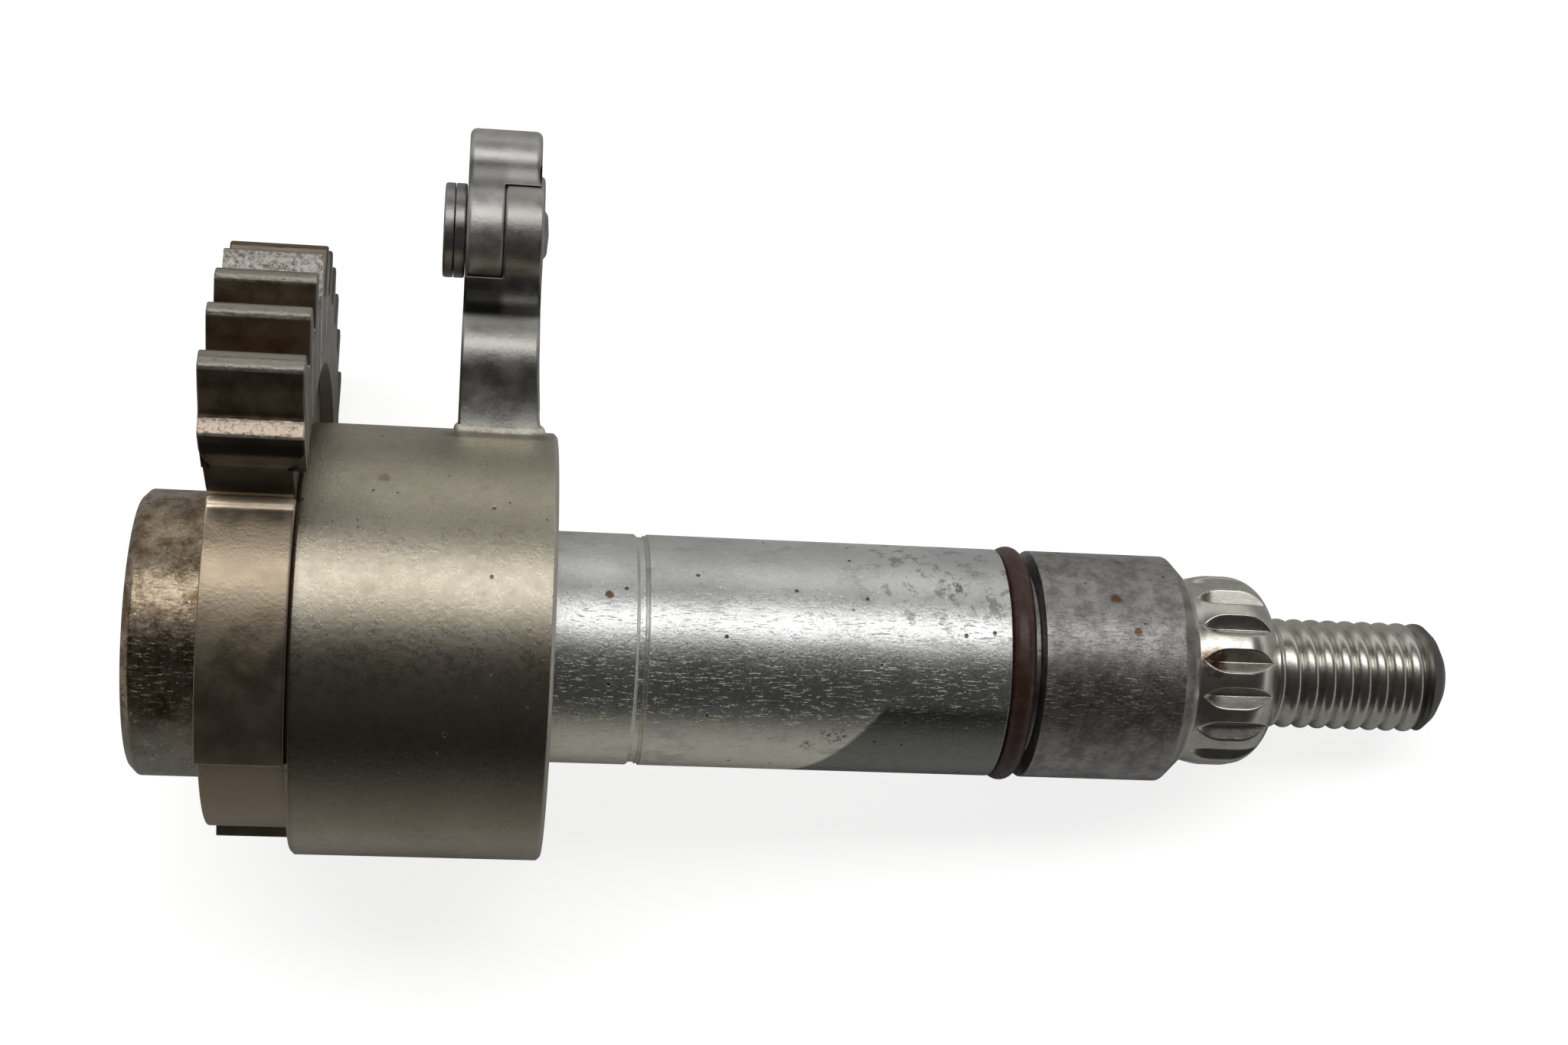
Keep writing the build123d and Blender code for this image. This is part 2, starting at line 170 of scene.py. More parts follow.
# How deep a length of the bar starts inside the one before it
tuck = 0.6

bar_line = [
    (head_left + drill_depth, drill_point, 0.0),
    (head_left + drill_depth, drill_radius, 0.05),
    (head_left + drill_bevel, drill_radius, 0.05),
    (head_left, drill_mouth, 0.08),
    (head_left, head_radius - 0.8, 0.45),
    (head_left + 0.8, head_radius, 0.45),
    (head_right, head_radius, 0.1),
    (head_right, shaft_radius, 0.02),
    (score_at - score_half, shaft_radius, 0.12),
    (score_at - score_half / 2, shaft_radius - score_deep, 0.1),
    (score_at + score_half * 0.3, shaft_radius - score_deep, 0.02),
    (score_at + score_half * 0.5, shaft_radius - 0.1, 0.03),
    (score_at + score_half * 0.7, shaft_radius - score_deep, 0.02),
    (score_at + score_half, shaft_radius, 0.12),
    (groove_left, shaft_radius, 0.15),
    (groove_left, groove_floor, 0.2),
    (groove_right, groove_floor, 0.2),
    (groove_right, shaft_radius, 0.15),
    (shoulder_at, shaft_radius, 0.35),
    (shoulder_at + shoulder_bevel, shaft_radius - shoulder_bevel, 0.25),
    (barrel_start, neck_radius - tuck, 0.0),
]
bar = turned("shaft_bar", rounded_line(bar_line, 0.5), 256)


def barrel_profile(x):
    """The uncut barrel's radius: a neck, an eased rise, a straight length and a round nose."""
    rise = np.clip((x - barrel_neck) / (barrel_top - barrel_neck), 0, 1)
    radius = neck_radius + (barrel_radius - neck_radius) * np.sin(rise * math.pi / 2)
    past = np.clip(x - barrel_end, 0, nose_round)
    nose = barrel_radius - nose_round + np.sqrt(nose_round**2 - past**2)
    return np.where(x > barrel_end, nose, radius)


groove_count, groove_root, groove_half_angle = 16, 8.22, math.radians(47)
groove_phase, cutter_radius, cutter_at = math.radians(16.5), 3.0, 64.5
flank_steps, land_steps = 9, 7

# Across half a pitch, the first steps lie on the groove's flank and the rest on the land,
# so that the edge between them is a line of the mesh at every ring.
nose_turn = np.linspace(0, 1, 26)[1:] * math.pi / 2
barrel_x = np.concatenate([
    [barrel_start, barrel_start],
    np.linspace(barrel_start + 0.12, barrel_end, 34),
    barrel_end + nose_round * np.sin(nose_turn),
])
lift = np.clip(cutter_at - barrel_x, 0, cutter_radius)
root = groove_root + cutter_radius - np.sqrt(cutter_radius**2 - lift**2)
uncut = barrel_profile(barrel_x)
uncut[0] = neck_radius - tuck
edge = groove_half_angle - np.arcsin(np.clip(root * math.sin(groove_half_angle) / uncut, 0, 1))
edge = np.maximum(edge, 0.002)
half_pitch = math.pi / groove_count
edge, root, uncut = edge[:, None], root[:, None], uncut[:, None]
share = np.concatenate([np.linspace(0, 1, flank_steps + 1), 1 + np.linspace(0, 1, land_steps + 1)[1:]])
off = np.where(share <= 1, share * edge, edge + (share - 1) * (half_pitch - edge))
flank = root * math.sin(groove_half_angle) / np.sin(groove_half_angle - np.minimum(off, edge))
cut = np.where(share <= 1, np.minimum(flank, uncut), uncut)
off = np.concatenate([-off[:, :0:-1], off[:, :-1]], axis=1)
cut = np.concatenate([cut[:, :0:-1], cut[:, :-1]], axis=1)
pitch_at = groove_phase + np.arange(groove_count) * 2 * half_pitch
turn = (pitch_at[None, :, None] + off[:, None, :]).reshape(len(barrel_x), -1)
radius = np.tile(cut, (1, groove_count))
barrel_grid = np.repeat(barrel_x[:, None], turn.shape[1], axis=1)
barrel = grid_mesh("shaft_serration", barrel_grid, radius * np.cos(turn), radius * np.sin(turn))

# The stud's thread is worn: broad round crests with a narrow vee between them. It fades in
# after the relief, and the domed end cuts it.
thread_pitch, thread_depth, crest_fullness, thread_run_in = 1.789, 0.68, 2.3, 1.5
thread_crest_x, thread_crest_turn = 75.09, math.radians(177)
stud_segments = 176
stud_line = [
    (barrel_end + nose_round - tuck, relief_radius - tuck, 0.0),
    (barrel_end + nose_round - tuck, relief_radius, 0.05),
    (relief_end, relief_radius, 0.2),
    (relief_end + 0.3, stud_radius, 0.1),
    (stud_end - 2.3, stud_radius, 0.6),
    (stud_end - 1.2, stud_radius - 0.95, 0.9),
    (stud_end - 0.3, 3.0, 0.8),
    (stud_end, drill_mouth, 0.05),
    (stud_end - drill_bevel, drill_radius, 0.05),
    (stud_end - drill_depth, drill_radius, 0.05),
    (stud_end - drill_depth, drill_point, 0.0),
]
stud_profile = rounded_line(stud_line, 0.055)
turn = np.linspace(0, 2 * math.pi, stud_segments, endpoint=False)
stud_x = np.repeat(stud_profile[:, :1], stud_segments, axis=1)
phase = (stud_x - thread_crest_x) / thread_pitch - (turn - thread_crest_turn) / (2 * math.pi)
from_crest = np.abs((phase + 0.5) % 1 - 0.5) * 2
fade = np.clip((stud_x - relief_end + 0.1) / thread_run_in, 0, 1)
thread = stud_radius - thread_depth * from_crest**crest_fullness * fade
outer = (np.arange(len(stud_profile)) < np.argmax(stud_profile[:, 0] > stud_end - 0.3))[:, None]
stud_r = np.where(outer, np.minimum(stud_profile[:, 1:], thread), stud_profile[:, 1:])
stud = grid_mesh("shaft_stud", stud_x, stud_r * np.cos(turn), stud_r * np.sin(turn))


class Nodes:
    """The node tree of a material or a world, with a short method for each kind of node."""

    def __init__(self, owner):
        owner.use_nodes = True
        self.owner, self.tree = owner, owner.node_tree

    def feed(self, socket, value):
        """Set an input: a socket is linked to it, and anything else is its value."""
        if isinstance(value, bpy.types.NodeSocket):
            self.tree.links.new(value, socket)
        else:
            socket.default_value = value

    def node(self, kind, *values, **named):
        """A node of a kind, with its inputs set in their order or by their names."""
        made = self.tree.nodes.new(kind)
        for socket, value in zip(made.inputs, values):
            self.feed(socket, value)
        for key, value in named.items():
            self.feed(made.inputs[key], value)
        return made

    def math(self, operation, *values):
        made = self.node("ShaderNodeMath", *values)
        made.operation = operation
        return made.outputs[0]

    def add(self, first, second):
        return self.math("ADD", first, second)

    def mul(self, first, second):
        return self.math("MULTIPLY", first, second)

    def ramp(self, value, low, high, start=0.0, end=1.0):
        """The value carried smoothly from start, at low, to end, at high."""
        made = self.node("ShaderNodeMapRange", value, low, high, start, end)
        made.interpolation_type = "SMOOTHSTEP"
        return made.outputs[0]


class Shader(Nodes):
    """A material. Its place, x, y, z, r and angle are those of the shaft's own frame, in
    millimetres and radians."""

    def __init__(self, name):
        super().__init__(bpy.data.materials.new(name))
        seen = self.node("ShaderNodeTexCoord").outputs["Object"]
        back = lay.inverted()
        back = {"Location": back.translation, "Rotation": back.to_euler(), "Scale": back.to_scale()}
        self.place = self.node("ShaderNodeMapping", seen, **back).outputs["Vector"]
        self.x, self.y, self.z = self.node("ShaderNodeSeparateXYZ", self.place).outputs
        self.r = self.math("SQRT", self.add(self.mul(self.y, self.y), self.mul(self.z, self.z)))
        self.angle = self.math("ARCTAN2", self.z, self.y)

    def band(self, value, rise, full, fade, end):
        """One from full to fade, easing to nothing at rise below them and at end above."""
        return self.mul(self.ramp(value, rise, full), self.ramp(value, end, fade))

    def noise(self, scale, detail=3.0, rough=0.55, stretch=(1, 1, 1), shift=0.0, distort=0.0):
        """Fractal noise over the shaft's own frame; scale is in waves a millimetre."""
        moved = self.node("ShaderNodeMapping", self.place, Scale=stretch, Location=(shift,) * 3)
        look = {"Scale": scale, "Detail": detail, "Roughness": rough, "Distortion": distort}
        return self.node("ShaderNodeTexNoise", moved.outputs[0], **look).outputs["Fac"]

    def near(self, place, size, soft=0.5):
        """One inside a ragged ball of about this size at a place, easing to nothing."""
        away = self.node("ShaderNodeVectorMath", self.place, place)
        away.operation = "DISTANCE"
        wobble = self.mul(self.noise(1.6, 3, shift=21), size)
        reach = self.math("SUBTRACT", self.add(away.outputs["Value"], wobble), size * 0.5)
        return self.ramp(reach, size * (1 - soft), size, 1.0, 0.0)

    def dots(self, scale, size, share):
        """Small round spots, one in a share of the cells; scale is in cells a millimetre."""
        cells = self.node("ShaderNodeTexVoronoi", self.place, Scale=scale)
        chosen = self.node("ShaderNodeSeparateColor", cells.outputs["Color"])
        inside = self.ramp(cells.outputs["Distance"], size * 0.6, size, 1.0, 0.0)
        return self.mul(inside, self.math("LESS_THAN", chosen.outputs[0], share))

    def mark(self, key):
        """A number kept by vertex in the piece's mesh."""
        made = self.node("ShaderNodeAttribute")
        made.attribute_name = key
        return made.outputs["Fac"]

    def blend(self, share, first, second):
        """The first colour where the share is 0, and the second where it is 1. The mix node
        keeps its colours in inputs 6 and 7, and gives a colour from output 2."""
        made = self.node("ShaderNodeMix", share)
        made.data_type = "RGBA"
        for socket, value in zip(made.inputs[6:8], (first, second)):
            is_socket = isinstance(value, bpy.types.NodeSocket)
            self.feed(socket, value if is_socket else (*value, 1.0))
        return made.outputs[2]

    def stained(self, colour, *stains):
        """A colour under stains, laid on in turn: each a share, a strength and a colour."""
        for share, strength, stain in stains:
            colour = self.blend(self.mul(share, strength), colour, stain)
        return colour

    def bump(self, height, depth, below=None):
        """A bump over the one below it; its depth is in millimetres at full white."""
        under = {"Normal": below} if below is not None else {}
        return self.node("ShaderNodeBump", Height=height, Distance=depth * MM, **under).outputs[0]

    def finish(self, colour, rough, normal, metal=1.0):
        surface = self.tree.nodes["Principled BSDF"].inputs
        look = {"Base Color": colour, "Roughness": rough, "Normal": normal, "Metallic": metal}
        for key, value in look.items():
            self.feed(surface[key], value)
        return self.owner


def plated_steel():
    """Zinc plating over steel: bright and fine-grained, with a painted reflection of the floor that
    makes it brighter and yellowish below, dark stains before and past the seal, a brown oiled
    head, and small pits, scratches and rust."""
    s = Shader("zinc_plated_steel")
    clouds = s.noise(0.10, 4, 0.6)
    grain = s.noise(3.4, 4, 0.75)
    colour = s.blend(s.ramp(clouds, 0.35, 0.65), (0.68, 0.685, 0.67), (0.82, 0.82, 0.795))
    # Painted reflection: the lower side is painted brighter and yellowish, for the floor seen in the
    # plating
    colour = s.blend(s.ramp(s.angle, 1.95, 2.25), colour, (0.98, 0.96, 0.82))
    # Grey stains in short streaks over the upper side, and a sharp-edged dark patch below
    streaks = s.ramp(s.noise(0.35, 5, 0.65, stretch=(0.6, 1, 1), shift=3), 0.54, 0.68)
    upper = s.mul(s.ramp(s.x, 24.0, 34.0), s.ramp(s.angle, 1.6, 1.3))
    blots = s.mul(upper, s.ramp(s.noise(0.62, 5, 0.7, shift=6), 0.53, 0.62))
    slope = s.add(s.x, s.mul(s.angle, 7.6))
    patch = s.mul(s.ramp(slope, 46.2, 46.9), s.ramp(s.angle, 1.93, 2.06))
    patch = s.mul(patch, s.ramp(s.x, groove_left + 0.2, groove_left - 0.2))
    spots = s.add(s.near((26.9, -7.4, 8.4), 1.5), s.near((24.6, -8.6, 7.2), 1.0))
    spots = s.add(spots, s.near((37.7, 6.9, 8.8), 1.9))
    spots = s.mul(spots, s.ramp(s.noise(1.8, 4, 0.75, shift=17), 0.48, 0.58))
    colour = s.stained(
        colour,
        (streaks, 0.35, (0.34, 0.34, 0.33)),
        (blots, 0.6, (0.22, 0.22, 0.215)),
        (patch, 0.9, (0.20, 0.20, 0.19)),
        (spots, 0.85, (0.13, 0.13, 0.12)),
    )
    # Past the seal the bar is dull and dark with old grease, and scuffed
    past_seal = s.band(s.x, groove_left, groove_right + 0.6, 61.0, 61.9)
    greased = s.ramp(s.noise(0.55, 6, 0.75, shift=6), 0.38, 0.62)
    greased = s.blend(greased, (0.255, 0.245, 0.235), (0.44, 0.43, 0.405))
    scuffs = s.ramp(s.noise(1.1, 5, 0.75, stretch=(0.4, 1, 1), shift=16), 0.60, 0.72)
    greased = s.stained(greased, (scuffs, 0.5, (0.62, 0.60, 0.58)))
    colour = s.blend(past_seal, colour, greased)
    # The head is browned by old oil, greyer below, with bright flecks
    on_head = s.math("LESS_THAN", s.x, head_right + 0.02)
    browned = s.ramp(s.noise(0.42, 6, 0.72, shift=8), 0.38, 0.62)
    browned = s.blend(browned, (0.17, 0.12, 0.07), (0.45, 0.36, 0.265))
    greyed = s.ramp(s.angle, 2.1, 2.4)
    flecks = s.ramp(s.noise(2.2, 4, 0.75, shift=9), 0.60, 0.68)
    browned = s.stained(browned, (greyed, 0.7, (0.27, 0.265, 0.22)), (flecks, 0.6, (0.86, 0.84, 0.80)))
    colour = s.blend(on_head, colour, browned)
    # The barrel and the stud are smoother and duller, and the stud's tip is black with oil
    stud_from, stud_full = barrel_start - 0.4, barrel_start + 0.3
    on_stud = s.ramp(s.x, stud_from, stud_full)
    zinc = s.ramp(s.noise(0.6, 4, 0.6, shift=12), 0.4, 0.7)
    zinc = s.blend(zinc, (0.60, 0.59, 0.53), (0.50, 0.485, 0.42))
    dirt = s.mul(s.near((63.4, 0.8, 8.9), 1.7, 0.35), s.ramp(s.noise(1.3, 4, 0.7, shift=19), 0.4, 0.5))
    tip = s.ramp(s.x, stud_end - 4.0, stud_end - 2.4)
    zinc = s.stained(zinc, (dirt, 0.9, (0.30, 0.20, 0.14)), (tip, 0.85, (0.075, 0.065, 0.052)))
    colour = s.blend(on_stud, colour, zinc)
    pits = s.mul(s.dots(0.75, 0.17, 0.09), s.ramp(s.x, barrel_start + 0.5, barrel_start))
    rust = s.add(s.near((53.5, 6.5, 9.0), 0.7), s.near((55.3, 3.4, 10.6), 0.5))
    rust = s.add(rust, s.near((5.2, 5.0, 10.0), 0.55))
    colour = s.stained(colour, (pits, 0.9, (0.08, 0.07, 0.06)), (rust, 0.9, (0.16, 0.075, 0.03)))
    scratch = s.noise(2.6, 2, 0.6, stretch=(0.35, 2.6, 2.6), shift=23, distort=0.4)
    rough = s.ramp(grain, 0.3, 0.7, 0.26, 0.40)
    ground = s.ramp(s.x, stud_from, stud_full, 1.0, 0.12)
    rough = s.add(s.mul(rough, ground), s.mul(on_stud, 0.24))
    rough = s.add(rough, s.mul(on_head, -0.04))
    rough = s.add(rough, s.mul(past_seal, 0.08))
    rough = s.add(rough, s.mul(tip, 0.14))
    normal = s.bump(s.mul(grain, ground), 0.034)
    normal = s.bump(s.mul(s.ramp(scratch, 0.60, 0.70), ground), -0.02, normal)
    turning = s.noise(1.6, 2, 0.5, stretch=(2.5, 0.3, 0.3), shift=2)
    normal = s.bump(s.mul(turning, ground), 0.008, normal)
    return s.finish(colour, rough, s.bump(pits, -0.06, normal))


plating = plated_steel()
for part in (bar, barrel, stud):
    part.data.materials.append(plating)
    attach(part, ASSEMBLY)
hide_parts("shaft")

# The seal is a plain moulded ring of dark brown rubber. It is stretched over the bar and
# lies in its groove. The CAD's own mesh is kept.


def seal_rubber():
    """Dark brown rubber with a soft sheen and a little dust."""
    s = Shader("seal_rubber")
    dust = s.ramp(s.noise(1.4, 4), 0.55, 0.8)
    colour = s.blend(s.ramp(s.noise(0.8, 3), 0.4, 0.7), (0.050, 0.020, 0.014), (0.085, 0.038, 0.026))
    colour = s.stained(colour, (dust, 0.12, (0.20, 0.15, 0.12)))
    rough = s.ramp(s.noise(2.5, 2), 0.3, 0.7, 0.36, 0.46)
    return s.finish(colour, rough, s.bump(s.noise(3.0, 2), 0.01), metal=0.0)


frame["nodes"]["o_ring"].data.materials[0] = seal_rubber()

# The toothed sector and its lobed hub are one steel casting. The rim stands proud of the
# web, the teeth are worn round along one corner, and one has lost its crest.
rim_left, rim_right, hub_left, hub_right = -31.0, -22.05, -30.95, -23.2
rim_edge, hub_edge = 0.2, 0.15
# Angles are in degrees from the lever, and the teeth are counted from the near end
tooth_module, full_circle_teeth, tooth_count = 2.0, 35, 10
first_tooth, broken_tooth, tooth_wear = 51.6, 3, 0.85
tip_at = tooth_module * (full_circle_teeth / 2 + 1)
root_at = tooth_module * (full_circle_teeth / 2 - 1.25)
tooth_pitch = 360 / full_circle_teeth
last_tooth = first_tooth - (tooth_count - 1) * tooth_pitch
far_end, rim_inside = last_tooth - 6.9, 26.0


def polar(radius, degrees):
    """Points across the shaft, by radius and degrees from the lever."""
    turn = np.radians(degrees)
    return np.c_[radius * np.cos(turn), radius * np.sin(turn)]


def walked(corners, step, ease, closed=True):
    """A line through corners, walked in equal steps. Each point then moves to the mean of
    its neighbours over the ease length, twice, which rounds the corners."""
    line = np.vstack([corners, corners[:1]]) if closed else corners
    reach = np.r_[0, np.cumsum(np.linalg.norm(np.diff(line, axis=0), axis=1))]
    at = np.linspace(0, reach[-1], int(reach[-1] / step), endpoint=not closed)
    points = np.stack([np.interp(at, reach, column) for column in line.T], axis=1)
    half = max(1, round(ease / step / 2))
    window = np.full(2 * half + 1, 1 / (2 * half + 1))
    for _ in range(2):
        before = points[-half:] if closed else np.repeat(points[:1], half, axis=0)
        after = points[:half] if closed else np.repeat(points[-1:], half, axis=0)
        padded = np.vstack([before, points, after])
        points = np.stack([np.convolve(column, window, "valid") for column in padded.T], axis=1)
    return points


def outward(outline, closed=True):
    """Unit normals of an outline walked from the lever's side towards the camera's."""
    ahead = np.roll(outline, -1, axis=0) - np.roll(outline, 1, axis=0)
    if not closed:
        ahead = np.gradient(outline, axis=0)
    normal = np.c_[ahead[:, 1], -ahead[:, 0]]
    return normal / np.linalg.norm(normal, axis=1, keepdims=True)


def uneven(rows, columns, row_cell, column_cell, seed):
    """Random heights from -1 to 1: a coarse grid of numbers, eased between its points."""
    dice = np.random.default_rng(seed)
    coarse = dice.uniform(-1, 1, (rows // row_cell + 3, columns // column_cell + 3))
    down, side = np.arange(rows) / row_cell, np.arange(columns) / column_cell
    i, j = down.astype(int), side.astype(int)
    f, g = down - i, side - j
    f, g = (f * f * (3 - 2 * f))[:, None], g * g * (3 - 2 * g)
    across = coarse[i] * (1 - f) + coarse[i + 1] * f
    return across[:, j] * (1 - g) + across[:, j + 1] * g


def quarter_round(edge, points):
    """A rounded rim from face to side: the way along the shaft, which is the radius times
    one less the cosine, and the way the outline draws in, which is the same by the sine."""
    turn = np.linspace(0, math.pi / 2, points)
    return edge * (1 - np.cos(turn)), edge * (1 - np.sin(turn))


def plate(name, outline, left, right, edge):
    """A flat plate: a closed outline carried along the shaft, with both rims rounded."""
    rise, draw = quarter_round(edge, 6)
    side = np.linspace(left + 2 * edge, right - 2 * edge, 4)
    x = np.r_[left, left + rise, side, right - rise[::-1], right]
    inset = np.r_[2 * edge, draw, np.zeros(len(side)), draw[::-1], 2 * edge]
    sides = outline[None] - inset[:, None, None] * outward(outline)[None]
    x = np.repeat(x[:, None], len(outline), axis=1)
    return grid_mesh(name, x, sides[..., 0], sides[..., 1], ends="flat")


def tooth_corners(number):
    """One tooth's corners by radius and degrees, walked towards the camera: root, foot, two
    lengths along the involute, crest, and down again past a worn corner. The broken tooth
    slopes down from a short crest. All but it and the first are thinner on that side."""
    middle = first_tooth - number * tooth_pitch
    thin = 0.0 if number in (0, broken_tooth) else tooth_wear
    climb = [(root_at, -3.75), (33.3, -3.3), (35.0, -2.55)]
    if number == broken_tooth:
        crest = [(36.9, -1.45), (37.0, -0.55), (36.5, -0.35), (35.6, 0.75), (34.6, 1.75), (33.7, 2.75)]
    else:
        crest = [(37.0, -1.45), (37.0, 1.2 - thin), (36.75, 1.6 - thin), (35.0, 2.55 - thin)]
    foot = [(33.3, 3.3 - thin), (root_at, 3.75 - thin)]
    return [(radius, middle + aside) for radius, aside in (*climb, *crest, *foot)]


# The rim's outline goes from the far end over the teeth to the near end and its land
rim_corners = [(rim_inside + 0.3, far_end), (root_at - 0.5, far_end), (root_at, far_end + 0.9)]
for number in reversed(range(tooth_count)):
    rim_corners += tooth_corners(number)
rim_corners += [(32.1, 56.6), (31.75, 58.4), (28.9, 58.2), (rim_inside + 0.3, 56.9)]
rim_corners = np.vstack([polar(*corner) for corner in rim_corners])
rim_outline = walked(rim_corners, 0.15, 0.3, closed=False)
rim_normal = outward(rim_outline, closed=False)

# Across the rim: the left face, its rounded edge, the width, the other edge and face
rise, draw = quarter_round(rim_edge, 5)
width = np.linspace(rim_left + rim_edge, rim_right - rim_edge, 58)[1:-1]
faces = np.full(3, rim_left), np.full(3, rim_right)
rim_x = np.r_[faces[0], rim_left + rise, width, rim_right - rise[::-1], faces[1]]
rim_inset = np.r_[0, 0, 2 * rim_edge, draw, np.zeros(len(width)), draw[::-1], 2 * rim_edge, 0, 0]
inner = np.r_[1, 0.98, np.zeros(len(rim_x) - 4), 0.98, 1][None, :, None]
rim_grid = np.repeat(rim_x[None], len(rim_outline), axis=0)

# In the broken tooth's own frame: up along the tooth, and aside towards the camera
broken_turn = np.radians(first_tooth - broken_tooth * tooth_pitch)
up = rim_outline @ np.array([math.cos(broken_turn), math.sin(broken_turn)])
aside = rim_outline @ np.array([-math.sin(broken_turn), math.cos(broken_turn)])
on_break = (up > 33.55) & (up < 37.05) & (aside > -0.45) & (aside < 2.1)
chipped = np.repeat(on_break[:, None].astype(float), len(rim_x), axis=1)
grain = uneven(*rim_grid.shape, 3, 3, 4) + 0.6 * uneven(*rim_grid.shape, 1, 1, 5)
grain = grain + 1.3 * uneven(*rim_grid.shape, 9, 14, 6)

# Wear on the nearest teeth's corners towards the camera; the land at the near end is marked with them,
# and its bright bronze colour is a painted highlight
wear_reach, wear_wide, wear_shift, worn_teeth = 36.5, 1.75, 0.9, 3.5
degrees = np.degrees(np.arctan2(rim_outline[:, 1], rim_outline[:, 0]))
reach = np.hypot(rim_outline[:, 0], rim_outline[:, 1])
from_middle = (degrees - last_tooth + tooth_pitch / 2) % tooth_pitch - tooth_pitch / 2
wear_from = np.where(degrees > first_tooth - tooth_pitch / 2, 0.0, -wear_shift)
worn_and_highlit = (reach > wear_reach) & (from_middle > wear_from) & (from_middle < wear_from + wear_wide)
worn_and_highlit = worn_and_highlit & (degrees > first_tooth - worn_teeth * tooth_pitch)
highlit_land = (degrees > 55.9) & (reach > 31.6) & (reach < 32.6)
worn_and_highlit = np.repeat((worn_and_highlit | highlit_land)[:, None].astype(float), len(rim_x), axis=1)
waves = uneven(*rim_grid.shape, 5, 4, 7) + uneven(*rim_grid.shape, 2, 2, 8)

break_deep, wear_deep = 0.10, 0.05
depth = rim_inset * (1 - 0.55 * chipped)
depth = depth + chipped * break_deep * (1 + grain) + worn_and_highlit * wear_deep * (1 + waves / 2)
faced = rim_outline[:, None] - depth[..., None] * rim_normal[:, None]
inner_line = polar(rim_inside, np.clip(degrees, far_end + 0.05, 56.8))[:, None]
faced = faced * (1 - inner) + inner_line * inner

# The near end's lower corners are rounded off towards the inside, most at the right face
low_from, low_top, low_span, low_left, low_right = 56.0, 29.6, 3.3, 0.75, 1.6
low_end = np.where(degrees > low_from, np.clip((low_top - reach) / low_span, 0, 1), 0)[:, None] ** 2
share = (rim_grid - rim_left) / (rim_right - rim_left)
rim_grid = rim_grid + low_end * (low_left - (low_left + low_right) * share)
# The columns run from right to left, so that the faces point outwards
faced, rim_grid = faced[:, ::-1], rim_grid[:, ::-1]
marks = {"chipped": chipped[:, ::-1], "worn_and_highlit": worn_and_highlit[:, ::-1]}
sector_rim = grid_mesh("sector_rim", rim_grid, faced[..., 0], faced[..., 1], "flat", marks=marks)

# The hub's outline: the web's end, the notch, the burred lip, the near lobe, the relief
# between the lobes, and the far lobe
hub_at, relief_at = 20.55, 17.95
hub_corners = np.vstack([
    polar(27.3, np.linspace(far_end + 0.4, 56.9, 60)),
    polar(22.0, 54.7),
    polar(20.5, 53.5),
    polar(hub_at - 0.15, 54.3),
    polar(hub_at + 0.28, 54.9),
    polar(hub_at + 0.25, 56.0),
    polar(hub_at, np.linspace(57.2, 124.2, 40)),
    polar(relief_at, np.linspace(124.2, 198.0, 40)),
    polar(hub_at, np.linspace(198.2, 360 + far_end - 3.4, 60)),
    polar(hub_at + 0.4, far_end - 0.9),
    polar(hub_at + 1.3, far_end + 0.3),
])
hub = plate("sector_hub", walked(hub_corners, 0.12, 0.25), hub_left, hub_right, hub_edge)


